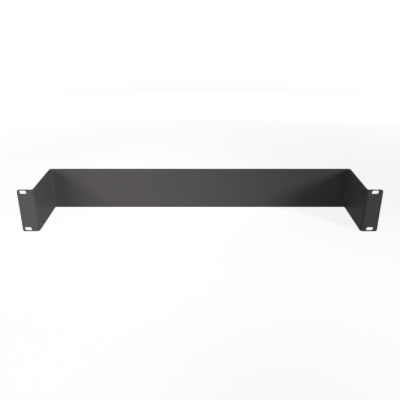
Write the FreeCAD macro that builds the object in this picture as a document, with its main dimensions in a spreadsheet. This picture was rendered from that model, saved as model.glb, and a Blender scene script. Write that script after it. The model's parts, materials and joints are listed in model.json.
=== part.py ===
import FreeCAD, Part
import math
import os
import Sketcher

# A 19-inch rack bracket folded from one steel sheet. In plan it is a hat: two ears in front, a side wall
# running back from each, and one web across the rear. Every fold is a right angle, and the ears carry
# the punched slots. +X runs along the width, +Y from the ears to the web and +Z up, with the origin at
# the middle of the base.

# Driving sizes in millimetres.
SIZES = {
    "overall_width": 482.6,  # across both ears, the 19-inch panel width
    "ear_width": 20.3,  # end of an ear to the outer face of its side wall
    "height": 61.0,  # the same all along the sheet
    "depth": 81.5,  # front face of the ears to rear face of the web
    "sheet_thickness": 2.0,
    "bend_radius": 2.0,  # inside radius of all four folds
    "left_slot_distance": 7.5,  # end of the left ear to the middle of its slots
    "right_slot_distance": 10.0,  # the same on the right, which leaves the rack's hole pitch of 465.1
    "slot_length": 9.6,  # end to end
    "slot_width": 5.3,
    "slot_margin": 0.85,  # metal left between a slot and the nearest long edge
    "ear_corner_radius": 2.4,
}

# How a sketch constraint names the points of a line or an arc, and the sketch's own origin.
START, END, CENTRE = range(1, 4)
ORIGIN = (-1, START)

SLOT_COLUMNS = 2  # one in each ear
SLOT_ROWS = 2

CLOSE = 1e-6  # two coordinates or ratios that differ by less are equal


def add_sizes(doc):
    """The table of driving sizes, one row each."""
    sheet = doc.addObject("Spreadsheet::Sheet", "Sizes")
    for row, (name, value) in enumerate(SIZES.items(), start=1):
        sheet.set("A%d" % row, name)
        sheet.set("B%d" % row, str(value))
        sheet.setAlias("B%d" % row, name)
    doc.recompute()


def origin_feature(body, role):
    """One of the body's own reference planes or axes."""
    return next(feature for feature in body.Origin.OriginFeatures if feature.Role == role)


def add_sketch(body, name, plane):
    """An empty sketch on one of the body's reference planes."""
    sketch = body.newObject("Sketcher::SketchObject", name)
    sketch.AttachmentSupport = [(origin_feature(body, plane), "")]
    sketch.MapMode = "FlatFace"
    return sketch


def add_size(sketch, name, formula, kind, *where):
    """A named dimension that takes its value from the table."""
    sketch.addConstraint(Sketcher.Constraint(kind, *where, measured(sketch, kind, where)))
    sketch.renameConstraint(sketch.ConstraintCount - 1, name)
    sketch.setExpression("Constraints." + name, formula)


def measured(sketch, kind, where):
    """What a dimension measures on the sketch as drawn."""
    if kind == "Radius":
        return sketch.Geometry[where[0]].Radius
    first = sketch.getPoint(*where[:2])
    second = sketch.getPoint(*where[2:])
    return (second - first).x if kind == "DistanceX" else (second - first).y


def add_rounded_outline(sketch, corners):
    """A closed outline of level and upright lines through corners given as (x, y, radius).

    Returns the line that leaves each corner, and the arc that rounds it, or None where it is sharp.
    """
    count = len(corners)
    points = [FreeCAD.Vector(x, y, 0) for x, y, radius in corners]
    ways = [(points[(i + 1) % count] - points[i]).normalize() for i in range(count)]
    lines = []
    arcs = []
    for i in range(count):
        next_radius = corners[(i + 1) % count][2]
        begin = points[i] + ways[i] * corners[i][2]
        end = points[(i + 1) % count] - ways[i] * next_radius
        lines.append(sketch.addGeometry(Part.LineSegment(begin, end)))
        level = abs(ways[i].x) > abs(ways[i].y)
        sketch.addConstraint(Sketcher.Constraint("Horizontal" if level else "Vertical", lines[i]))
    for i in range(count):
        radius = corners[i][2]
        before, after = lines[i - 1], lines[i]
        if radius == 0:
            sketch.addConstraint(Sketcher.Constraint("Coincident", before, END, after, START))
            arcs.append(None)
            continue
        centre = points[i] + (ways[i] - ways[i - 1]) * radius
        middle = centre - (ways[i] - ways[i - 1]).normalize() * radius
        arc = Part.Arc(points[i] - ways[i - 1] * radius, middle, points[i] + ways[i] * radius)
        arcs.append(sketch.addGeometry(arc))
        turns_left = ways[i - 1].cross(ways[i]).z > 0
        first, last = (START, END) if turns_left else (END, START)
        sketch.addConstraint(Sketcher.Constraint("Tangent", before, END, arcs[i], first))
        sketch.addConstraint(Sketcher.Constraint("Tangent", arcs[i], last, after, START))
    return lines, arcs


def draw_fold_profile(sketch):
    """The right half of the folded sheet, seen from above."""
    thickness = SIZES["sheet_thickness"]
    inner = SIZES["bend_radius"]
    outer = inner + thickness
    ear_end = SIZES["overall_width"] / 2
    wall_out = ear_end - SIZES["ear_width"]
    wall_in = wall_out - thickness
    web_rear = SIZES["depth"] / 2
    web_front = web_rear - thickness
    ear_front = -web_rear
    ear_rear = ear_front + thickness
    lines, arcs = add_rounded_outline(
        sketch,
        [
            (0, web_front, 0),
            (wall_in, web_front, inner),
            (wall_in, ear_front, outer),
            (ear_end, ear_front, 0),
            (ear_end, ear_rear, 0),
            (wall_out, ear_rear, inner),
            (wall_out, web_rear, outer),
            (0, web_rear, 0),
        ],
    )
    _, wall_inside, ear_face, ear_tip, _, wall_outside, web_back, middle = lines
    _, web_bend_in, ear_bend_out, _, _, ear_bend_in, web_bend_out, _ = arcs
    sketch.addConstraint(Sketcher.Constraint("Vertical", *ORIGIN, middle, START))
    sketch.addConstraint(Sketcher.Constraint("Coincident", web_bend_out, CENTRE, web_bend_in, CENTRE))
    sketch.addConstraint(Sketcher.Constraint("Coincident", ear_bend_out, CENTRE, ear_bend_in, CENTRE))
    add_size(sketch, "web_bend", "Sizes.bend_radius", "Radius", web_bend_in)
    add_size(sketch, "ear_bend", "Sizes.bend_radius", "Radius", ear_bend_in)
    add_size(sketch, "half_width", "Sizes.overall_width / 2", "DistanceX", *ORIGIN, ear_tip, START)
    add_size(sketch, "ear", "Sizes.ear_width", "DistanceX", wall_outside, START, ear_tip, END)
    add_size(sketch, "sheet", "Sizes.sheet_thickness", "DistanceX", wall_inside, END, wall_outside, START)
    add_size(sketch, "half_depth", "Sizes.depth / 2", "DistanceY", *ORIGIN, web_back, END)
    add_size(sketch, "depth", "Sizes.depth", "DistanceY", ear_face, END, web_back, START)


def draw_slot(sketch):
    """The lower slot of the right ear, an obround lying along the width."""
    radius = SIZES["slot_width"] / 2
    half_run = SIZES["slot_length"] / 2 - radius
    slot_x = SIZES["overall_width"] / 2 - SIZES["right_slot_distance"]
    slot_centre = FreeCAD.Vector(slot_x, SIZES["slot_margin"] + radius, 0)
    along = FreeCAD.Vector(half_run, 0, 0)
    up = FreeCAD.Vector(0, radius, 0)
    upright = FreeCAD.Vector(0, 0, 1)
    quarter = math.pi / 2
    right = Part.Circle(slot_centre + along, upright, radius)
    left = Part.Circle(slot_centre - along, upright, radius)
    right_end = sketch.addGeometry(Part.ArcOfCircle(right, -quarter, quarter))
    top = sketch.addGeometry(Part.LineSegment(slot_centre + along + up, slot_centre - along + up))
    left_end = sketch.addGeometry(Part.ArcOfCircle(left, quarter, 3 * quarter))
    bottom = sketch.addGeometry(Part.LineSegment(slot_centre - along - up, slot_centre + along - up))
    middle = sketch.addGeometry(Part.Point(slot_centre), True)
    chain = [right_end, top, left_end, bottom]
    for before, after in zip(chain, chain[1:] + chain[:1]):
        sketch.addConstraint(Sketcher.Constraint("Tangent", before, END, after, START))
    sketch.addConstraint(Sketcher.Constraint("Horizontal", top))
    sketch.addConstraint(Sketcher.Constraint("Equal", left_end, right_end))
    ends = (left_end, CENTRE, right_end, CENTRE)
    sketch.addConstraint(Sketcher.Constraint("Symmetric", *ends, middle, START))
    across = "Sizes.overall_width / 2 - Sizes.right_slot_distance"
    rise = "Sizes.slot_margin + Sizes.slot_width / 2"
    add_size(sketch, "end_radius", "Sizes.slot_width / 2", "Radius", right_end)
    add_size(sketch, "run", "Sizes.slot_length - Sizes.slot_width", "DistanceX", *ends)
    add_size(sketch, "across", across, "DistanceX", *ORIGIN, middle, START)
    add_size(sketch, "rise", rise, "DistanceY", *ORIGIN, middle, START)


def ear_corner_edges(shape):
    """The short edges at the two outer corners of the right ear."""
    ear_end = SIZES["overall_width"] / 2
    names = []
    for number, edge in enumerate(shape.Edges, start=1):
        at_end = all(abs(vertex.X - ear_end) < CLOSE for vertex in edge.Vertexes)
        box = edge.BoundBox
        if at_end and box.ZLength < CLOSE:
            names.append("Edge%d" % number)
    return names


def add_bracket(doc):
    """The bracket: half of the folded sheet with its corners rounded, the other half, then the slots."""
    body = doc.addObject("PartDesign::Body", "bracket")
    body.Label = "bracket"

    profile = add_sketch(body, "fold_profile", "XY_Plane")
    draw_fold_profile(profile)
    folded_sheet = body.newObject("PartDesign::Pad", "folded_sheet")
    folded_sheet.Profile = profile
    folded_sheet.setExpression("Length", "Sizes.height")
    doc.recompute()

    corners = body.newObject("PartDesign::Fillet", "ear_corners")
    corners.Base = (folded_sheet, ear_corner_edges(folded_sheet.Shape))
    corners.setExpression("Radius", "Sizes.ear_corner_radius")
    doc.recompute()

    other_half = body.newObject("PartDesign::Mirrored", "other_half")
    other_half.TransformMode = "Whole shape"
    other_half.MirrorPlane = (origin_feature(body, "YZ_Plane"), [""])
    body.Tip = other_half
    doc.recompute()

    slot_outline = add_sketch(body, "slot_outline", "XZ_Plane")
    draw_slot(slot_outline)
    slot = body.newObject("PartDesign::Pocket", "slot")
    slot.Profile = slot_outline
    slot.Type = "ThroughAll"
    slot.SideType = "Symmetric"
    doc.recompute()

    across = "Sizes.overall_width - Sizes.left_slot_distance - Sizes.right_slot_distance"
    up = "Sizes.height - 2 * Sizes.slot_margin - Sizes.slot_width"
    slots = body.newObject("PartDesign::LinearPattern", "slots")
    slots.Originals = [slot]
    slots.Direction = (origin_feature(body, "X_Axis"), [""])
    slots.Reversed = True
    slots.setExpression("Length", across)
    slots.Occurrences = SLOT_COLUMNS
    slots.Direction2 = (origin_feature(body, "Z_Axis"), [""])
    slots.setExpression("Length2", up)
    slots.Occurrences2 = SLOT_ROWS
    body.Tip = slots
    doc.recompute()
    return body


def check(doc, body):
    """Stops unless every object is sound, all four slots are cut and the bracket is one solid."""
    for item in doc.Objects:
        if "Invalid" in item.State or "Error" in item.State:
            raise RuntimeError("%s failed: %s" % (item.Name, item.State))
    uncut = doc.other_half.Shape.Volume
    one_slot = uncut - doc.slot.Shape.Volume
    all_slots = uncut - doc.slots.Shape.Volume
    if one_slot <= 0 or abs(all_slots / one_slot - SLOT_COLUMNS * SLOT_ROWS) > CLOSE:
        raise RuntimeError("not every slot is cut")
    shape = body.Shape
    if shape.isNull() or not shape.isValid() or len(shape.Solids) != 1:
        raise RuntimeError("%s is not one sound solid" % body.Label)


def main():
    doc = FreeCAD.newDocument("rack_bracket")
    add_sizes(doc)
    bracket = add_bracket(doc)
    check(doc, bracket)
    os.makedirs("parts", exist_ok=True)
    bracket.Shape.exportStep("parts/%s.step" % bracket.Label)
    box = bracket.Shape.BoundBox
    print("bracket: %.1f x %.1f x %.1f mm" % (box.XLength, box.YLength, box.ZLength))


main()
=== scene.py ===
import json
import math

import bpy
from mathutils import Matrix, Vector


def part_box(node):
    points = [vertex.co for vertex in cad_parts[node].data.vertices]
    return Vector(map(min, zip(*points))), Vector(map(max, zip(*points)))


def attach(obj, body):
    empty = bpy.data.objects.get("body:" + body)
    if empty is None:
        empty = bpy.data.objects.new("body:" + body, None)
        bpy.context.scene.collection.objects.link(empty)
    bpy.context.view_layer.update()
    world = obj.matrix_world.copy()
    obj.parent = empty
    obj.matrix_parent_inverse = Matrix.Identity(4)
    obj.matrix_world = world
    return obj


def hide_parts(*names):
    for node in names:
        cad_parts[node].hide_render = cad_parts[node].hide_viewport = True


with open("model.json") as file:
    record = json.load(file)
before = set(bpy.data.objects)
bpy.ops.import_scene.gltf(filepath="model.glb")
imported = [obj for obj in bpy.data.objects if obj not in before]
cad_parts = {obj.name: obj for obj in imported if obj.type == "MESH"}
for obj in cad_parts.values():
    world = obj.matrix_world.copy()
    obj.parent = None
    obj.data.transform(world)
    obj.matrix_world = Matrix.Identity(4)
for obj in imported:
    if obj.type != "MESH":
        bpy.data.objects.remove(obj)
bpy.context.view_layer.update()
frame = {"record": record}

# The folded sheet, in metres. Its outer size and its slots are read from the frame.
SHEET = 0.002
EAR_WIDTH = 0.0203  # end of an ear to the outer face of its side wall
FOLD_RADIUS = 0.002  # inside of every fold
EAR_CORNER = 0.0024  # outer corners of the ears
EDGE_ROUND = 0.00022  # cut edges, softened by the coat
TRIM = 0.004  # how far the uncut sheet runs past its finished outline
MM = 0.001

# How finely the round stretches are divided.
FOLD_STEPS = 12
CORNER_STEPS = 10
SLOT_STEPS = 14
EDGE_STEPS = 3
SHARP_ANGLE = math.radians(40)  # edges that turn by more than this are softened
SAME_POINT = 1e-6

# The powder coat: its linear colours, its gloss, and the sizes of its texture in metres.
COAT_DEEP = (0.0780, 0.0715, 0.0790, 1)
COAT_FULL = (0.0840, 0.0772, 0.0850, 1)
COAT_GLOSS = 0.15
SATIN = 0.71  # the least roughness
DULL = 0.79  # the most
CLEAR_TOP = 0.05  # a thin clear skin that mirrors a little at a shallow angle
CLEAR_ROUGH = 0.18
COAT_CLOUD = 0.045
ORANGE_PEEL = 0.0022
PEEL_DEPTH = 0.00006
POWDER_GRAIN = 0.0006
GRAIN_DEPTH = 0.00008

# The camera, in metres and degrees.
CAMERA_PLACE = Vector((0, -0.6203, 0.3026))
CAMERA_DOWN = 23.82
CAMERA_LENS = 43.0  # mm, on a sensor 36 mm wide
SENSOR_WIDTH = 36.0
NEAREST_SEEN = 0.01

# The studio. Distances are in metres from the middle of the bracket's base.
WHITE = (1, 1, 1, 1)
AMBIENT = 0.01
FLOOR_HALF = 40.0
PAPER = 0.75  # how much light the floor throws back
PAPER_SEEN = 0.4  # the same where the floor is seen, lower so that the shadow is faint
NEAR = 0.3
FAR = 1.2
GLOW_NEAR = 0.875  # the floor's own white within NEAR
GLOW_FAR = 1.0  # and beyond FAR

# What the lamps aim at.
LEFT_END = Vector((-0.25, 0.01, 0.03))  # just past the left ear
LEFT_HALF = Vector((-0.1, 0.01, 0.03))
WEB_BACK = Vector((0, 0.04, 0.03))


def add_node(tree, kind, **settings):
    """A node with its options set."""
    node = tree.nodes.new(kind)
    for name, value in settings.items():
        setattr(node, name, value)
    return node


def feed(tree, node, **sources):
    """Joins each named input to a socket, or sets it to a plain value, and returns the first output."""
    for name, source in sources.items():
        socket = node.inputs[name.replace("_", " ")]
        if isinstance(source, bpy.types.NodeSocket):
            tree.links.new(source, socket)
        else:
            socket.default_value = source
    return node.outputs[0]


def scaled(tree, value, factor):
    """A value times a plain number."""
    node = add_node(tree, "ShaderNodeMath", operation="MULTIPLY")
    node.inputs[1].default_value = factor
    tree.links.new(value, node.inputs[0])
    return node.outputs[0]


def moved(tree, geometry, **parts):
    """Geometry shifted by some of x, y and z."""
    shift = feed(tree, add_node(tree, "ShaderNodeCombineXYZ"), **parts)
    return feed(tree, add_node(tree, "GeometryNodeTransform"), Geometry=geometry, Translation=shift)


def stood_up(tree, geometry):
    """Geometry turned from lying on the ground to facing along Y."""
    turn = add_node(tree, "GeometryNodeTransform")
    return feed(tree, turn, Geometry=geometry, Rotation=(math.pi / 2, 0, 0))


def rounded_rectangle(tree, width, height, radius, steps):
    """A closed outline on the ground with its four corners rounded."""
    outline = add_node(tree, "GeometryNodeCurvePrimitiveQuadrilateral")
    square = feed(tree, outline, Width=width, Height=height)
    corners = add_node(tree, "GeometryNodeFilletCurve", mode="POLY")
    return feed(tree, corners, Curve=square, Radius=radius, Count=steps, Limit_Radius=True)


def cutter(tree, outline, reach):
    """A closed block with a flat outline, running along Y to both sides of the origin."""
    face = feed(tree, add_node(tree, "GeometryNodeFillCurve", mode="NGONS"), Curve=outline)
    extrude = add_node(tree, "GeometryNodeExtrudeMesh")
    block = feed(tree, extrude, Mesh=face, Offset_Scale=reach, Individual=False)
    base = feed(tree, add_node(tree, "GeometryNodeFlipFaces"), Mesh=face)
    both = add_node(tree, "GeometryNodeJoinGeometry")
    tree.links.new(block, both.inputs[0])
    tree.links.new(base, both.inputs[0])
    merge = add_node(tree, "GeometryNodeMergeByDistance")
    closed = feed(tree, merge, Geometry=both.outputs[0], Distance=SAME_POINT)
    return stood_up(tree, moved(tree, closed, Z=scaled(tree, reach, -0.5)))


def folded_sheet(tree, given):
    """The uncut sheet, bent along its fold line."""
    bend = add_node(tree, "GeometryNodeFilletCurve", mode="POLY")
    folds = feed(tree, bend, Curve=given["Fold line"], Radius=given["Fold radius"], Count=FOLD_STEPS)
    level = feed(tree, add_node(tree, "GeometryNodeSetCurveNormal", mode="Z_UP"), Curve=folds)
    tall = add_node(tree, "ShaderNodeMath", operation="ADD")
    tree.links.new(given["Height"], tall.inputs[0])
    tree.links.new(given["Trim"], tall.inputs[1])
    section = add_node(tree, "GeometryNodeCurvePrimitiveQuadrilateral")
    strip = feed(tree, section, Width=given["Sheet"], Height=tall.outputs[0])
    sweep = add_node(tree, "GeometryNodeCurveToMesh")
    return feed(tree, sweep, Curve=level, Profile_Curve=strip, Fill_Caps=True)


def front_outline(tree, given):
    """A block with the outline that the bracket shows from the front."""
    outline = rounded_rectangle(
        tree, given["Overall width"], given["Height"], given["Ear corner"], CORNER_STEPS
    )
    return cutter(tree, outline, given["Reach"])


def slot_punches(tree, given):
    """A punch for each slot, two in each ear."""
    slot_end = scaled(tree, given["Slot width"], 0.5)
    slot = rounded_rectangle(tree, given["Slot length"], given["Slot width"], slot_end, SLOT_STEPS)
    grid = add_node(tree, "GeometryNodeMeshGrid")
    places = feed(
        tree, grid, Size_X=given["Slots across"], Size_Y=given["Slots up"], Vertices_X=2, Vertices_Y=2
    )
    centred = moved(tree, stood_up(tree, places), X=given["Slots middle"])
    spread = add_node(tree, "GeometryNodeInstanceOnPoints")
    return feed(tree, spread, Points=centred, Instance=cutter(tree, slot, given["Reach"]))


def fold_and_punch(sizes):
    """The tree that folds a sheet, trims it and punches its slots, with an input for each named size."""
    tree = bpy.data.node_groups.new("fold_and_punch", "GeometryNodeTree")
    tree.interface.new_socket("Fold line", in_out="INPUT", socket_type="NodeSocketGeometry")
    for name in sizes:
        tree.interface.new_socket(name, in_out="INPUT", socket_type="NodeSocketFloat")
    tree.interface.new_socket("Coat", in_out="INPUT", socket_type="NodeSocketMaterial")
    tree.interface.new_socket("Bracket", in_out="OUTPUT", socket_type="NodeSocketGeometry")
    given = add_node(tree, "NodeGroupInput").outputs

    trim = add_node(tree, "GeometryNodeMeshBoolean", operation="INTERSECT", solver="MANIFOLD")
    tree.links.new(folded_sheet(tree, given), trim.inputs["Mesh 2"])
    tree.links.new(front_outline(tree, given), trim.inputs["Mesh 2"])
    punch = add_node(tree, "GeometryNodeMeshBoolean", operation="DIFFERENCE", solver="MANIFOLD")
    tree.links.new(trim.outputs["Mesh"], punch.inputs["Mesh 1"])
    tree.links.new(slot_punches(tree, given), punch.inputs["Mesh 2"])

    standing = moved(tree, punch.outputs["Mesh"], Z=scaled(tree, given["Height"], 0.5))
    real = feed(tree, add_node(tree, "GeometryNodeRealizeInstances"), Geometry=standing)
    coated = feed(tree, add_node(tree, "GeometryNodeSetMaterial"), Geometry=real, Material=given["Coat"])
    tree.links.new(coated, add_node(tree, "NodeGroupOutput").inputs[0])
    return tree


def set_inputs(modifier, values):
    """Sets a tree's inputs by their sockets' identifiers."""
    for item in modifier.node_group.interface.items_tree:
        if item.in_out == "INPUT" and item.name in values:
            modifier[item.identifier] = values[item.name]


def add_object(name, data):
    """A new object in the scene, at the origin."""
    made = bpy.data.objects.new(name, data)
    bpy.context.scene.collection.objects.link(made)
    return made


def plain_mesh(source, name):
    """The evaluated shape of an object as a mesh of its own."""
    evaluated = source.evaluated_get(bpy.context.evaluated_depsgraph_get())
    mesh = bpy.data.meshes.new_from_object(evaluated)
    mesh.name = name
    return mesh


def bracket_sizes():
    """What the sheet is folded and punched to, in metres."""
    low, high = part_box("bracket")
    width, depth, height = high - low
    mounts = {mount["name"]: mount for mount in frame["record"]["mounts"]}
    ear_slots = mounts["ear_slots"]
    slots = ear_slots["dims"]
    return {
        "Overall width": width,
        "Height": height,
        "Reach": 2 * depth,
        "Sheet": SHEET,
        "Fold radius": FOLD_RADIUS + SHEET / 2,
        "Ear corner": EAR_CORNER,
        "Trim": 2 * TRIM,
        "Slot length": slots["slot_length_mm"] * MM,
        "Slot width": 2 * slots["hole_r_mm"] * MM,
        "Slots across": slots["spacing_x_mm"] * MM,
        "Slots up": slots["spacing_y_mm"] * MM,
        "Slots middle": ear_slots["pos_m"][0],
    }


def add_fold_line():
    """The middle of the sheet seen from above, ear to ear, as straight runs."""
    low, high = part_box("bracket")
    end = high.x + TRIM
    wall = high.x - EAR_WIDTH - SHEET / 2
    front = low.y + SHEET / 2
    rear = high.y - SHEET / 2
    half = [(wall, rear), (wall, front), (end, front)]
    points = [(-x, y) for x, y in reversed(half)] + half
    curve = bpy.data.curves.new("fold_line", "CURVE")
    curve.dimensions = "3D"
    run = curve.splines.new("POLY")
    run.points.add(len(points) - 1)
    for point, (x, y) in zip(run.points, points):
        point.co = (x, y, 0, 1)
    return add_object("fold_line", curve)


def soften_edges(piece):
    """Rounds the cut edges a little."""
    piece.data.shade_smooth()
    edges = piece.modifiers.new("soft_edges", "BEVEL")
    edges.width = EDGE_ROUND
    edges.segments = EDGE_STEPS
    edges.limit_method = "ANGLE"
    edges.angle_limit = SHARP_ANGLE
    edges.harden_normals = True
    piece.data = plain_mesh(piece, piece.name)
    piece.modifiers.clear()


def add_bracket(coat):
    """The bracket: one sheet with four folds and four slots, its cut edges softened."""
    sizes = bracket_sizes()
    line = add_fold_line()
    making = line.modifiers.new("fold_and_punch", "NODES")
    making.node_group = fold_and_punch(sizes)
    set_inputs(making, sizes | {"Coat": coat})
    bracket = add_object("folded_bracket", plain_mesh(line, "folded_bracket"))
    bpy.data.objects.remove(line)
    bracket.data.materials.pop(index=0)  # the cutters' empty slot
    soften_edges(bracket)
    return bracket


def noise(tree, place, size, detail):
    """Noise whose grains are about as wide as the given size."""
    node = add_node(tree, "ShaderNodeTexNoise")
    return feed(tree, node, Vector=place, Scale=1 / size, Detail=detail)


def mapped(tree, value, given, wanted):
    """A value carried from one range over to another."""
    node = add_node(tree, "ShaderNodeMapRange")
    ends = dict(From_Min=given[0], From_Max=given[1], To_Min=wanted[0], To_Max=wanted[1])
    return feed(tree, node, Value=value, **ends)


def bumped(tree, height, depth, normal=None):
    """A surface normal raised by a texture, on top of another if one is given."""
    bump = add_node(tree, "ShaderNodeBump")
    bump.inputs["Distance"].default_value = depth
    tree.links.new(height, bump.inputs["Height"])
    if normal is not None:
        tree.links.new(normal, bump.inputs["Normal"])
    return bump.outputs[0]


def powder_coat():
    """Satin charcoal powder coat: faint clouds of colour over orange peel and a fine grain."""
    coat = bpy.data.materials.new("charcoal_powder_coat")
    coat.use_nodes = True
    tree = coat.node_tree
    shader = tree.nodes["Principled BSDF"]
    place = add_node(tree, "ShaderNodeTexCoord").outputs["Object"]
    cloud = noise(tree, place, COAT_CLOUD, detail=2)
    peel = noise(tree, place, ORANGE_PEEL, detail=2)
    grain = noise(tree, place, POWDER_GRAIN, detail=1)

    tone = add_node(tree, "ShaderNodeValToRGB")
    tone.color_ramp.elements[0].color = COAT_DEEP
    tone.color_ramp.elements[1].color = COAT_FULL
    tree.links.new(cloud, tone.inputs[0])
    sheen = mapped(tree, peel, (0, 1), (SATIN, DULL))
    normal = bumped(tree, grain, GRAIN_DEPTH, bumped(tree, peel, PEEL_DEPTH))
    feed(tree, shader, Base_Color=tone.outputs[0], Roughness=sheen, Normal=normal)
    shader.inputs["Specular IOR Level"].default_value = COAT_GLOSS
    shader.inputs["Coat Weight"].default_value = CLEAR_TOP
    shader.inputs["Coat Roughness"].default_value = CLEAR_ROUGH
    return coat


def seen_directly(tree):
    """1 for rays from the camera, from gloss or through glass, and 0 for all other light."""
    path = add_node(tree, "ShaderNodeLightPath").outputs
    seen = path["Is Camera Ray"]
    for kind in ("Is Glossy Ray", "Is Transmission Ray"):
        either = add_node(tree, "ShaderNodeMath", operation="MAXIMUM")
        tree.links.new(seen, either.inputs[0])
        tree.links.new(path[kind], either.inputs[1])
        seen = either.outputs[0]
    return seen


def add_world():
    """White where it is seen, and a weak even light everywhere else."""
    world = bpy.data.worlds.new("studio")
    world.use_nodes = True
    tree = world.node_tree
    fill = tree.nodes["Background"]
    feed(tree, fill, Color=WHITE, Strength=AMBIENT)
    white = add_node(tree, "ShaderNodeBackground")
    feed(tree, white, Color=WHITE, Strength=1)
    choice = add_node(tree, "ShaderNodeMixShader")
    tree.links.new(seen_directly(tree), choice.inputs[0])
    tree.links.new(fill.outputs[0], choice.inputs[1])
    tree.links.new(white.outputs[0], choice.inputs[2])
    tree.links.new(choice.outputs[0], tree.nodes["World Output"].inputs["Surface"])
    bpy.context.scene.world = world


def add_floor():
    """White paper that keeps a faint shadow of the bracket and is plain white further off."""
    paper = bpy.data.materials.new("white_paper")
    paper.use_nodes = True
    tree = paper.node_tree
    shader = tree.nodes["Principled BSDF"]
    seen = seen_directly(tree)
    place = add_node(tree, "ShaderNodeTexCoord").outputs["Object"]
    away = add_node(tree, "ShaderNodeVectorMath", operation="LENGTH")
    tree.links.new(place, away.inputs[0])
    white = mapped(tree, away.outputs["Value"], (NEAR, FAR), (GLOW_NEAR, GLOW_FAR))
    glow = add_node(tree, "ShaderNodeMath", operation="MULTIPLY")
    tree.links.new(white, glow.inputs[0])
    tree.links.new(seen, glow.inputs[1])
    shade = mapped(tree, seen, (0, 1), (PAPER, PAPER_SEEN))
    feed(tree, shader, Base_Color=shade, Emission_Color=WHITE, Emission_Strength=glow.outputs[0])
    shader.inputs["Specular IOR Level"].default_value = 0
    mesh = bpy.data.meshes.new("floor")
    corners = [(x * FLOOR_HALF, y * FLOOR_HALF, 0) for x, y in ((-1, -1), (1, -1), (1, 1), (-1, 1))]
    mesh.from_pydata(corners, [], [(0, 1, 2, 3)])
    mesh.materials.append(paper)
    add_object("floor", mesh)


def add_camera():
    """Looks down on the bracket from straight in front."""
    lens = bpy.data.cameras.new("camera")
    lens.lens = CAMERA_LENS
    lens.sensor_width = SENSOR_WIDTH
    lens.clip_start = NEAREST_SEEN
    camera = add_object("camera", lens)
    camera.location = CAMERA_PLACE
    camera.rotation_euler.x = math.radians(90 - CAMERA_DOWN)
    bpy.context.scene.camera = camera


def add_softbox(name, place, aim, size, power, spread):
    """A lamp with a diffuser, in metres and watts. Its light fans out by the spread, in degrees."""
    lamp = bpy.data.lights.new(name, "AREA")
    lamp.shape = "RECTANGLE"
    lamp.size, lamp.size_y = size
    lamp.energy = power
    lamp.spread = math.radians(spread)
    box = add_object(name, lamp)
    box.location = place
    box.rotation_euler = (aim - Vector(place)).to_track_quat("-Z", "Y").to_euler()
    box.visible_camera = False


bpy.context.scene.view_settings.view_transform = "Standard"
bracket = add_bracket(powder_coat())
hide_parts("bracket")
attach(bracket, "root")
add_world()
add_floor()
add_camera()
add_softbox("left_box", place=(-0.75, -1.1, 0.12), aim=LEFT_END, size=(0.58, 0.58), power=0.825, spread=52)
add_softbox("left_spot", place=(-0.6, -0.27, 0.25), aim=LEFT_END, size=(0.35, 0.35), power=0.13, spread=18)
add_softbox("front_box", place=(0, -0.7, 0.25), aim=LEFT_END, size=(0.11, 0.11), power=0.132, spread=60)
add_softbox("right_box", place=(1, -0.71, 0.44), aim=LEFT_HALF, size=(0.31, 0.31), power=0.46, spread=35)
add_softbox("rear_box", place=(0, 0.9, 0.03), aim=WEB_BACK, size=(2.4, 0.05), power=8, spread=180)
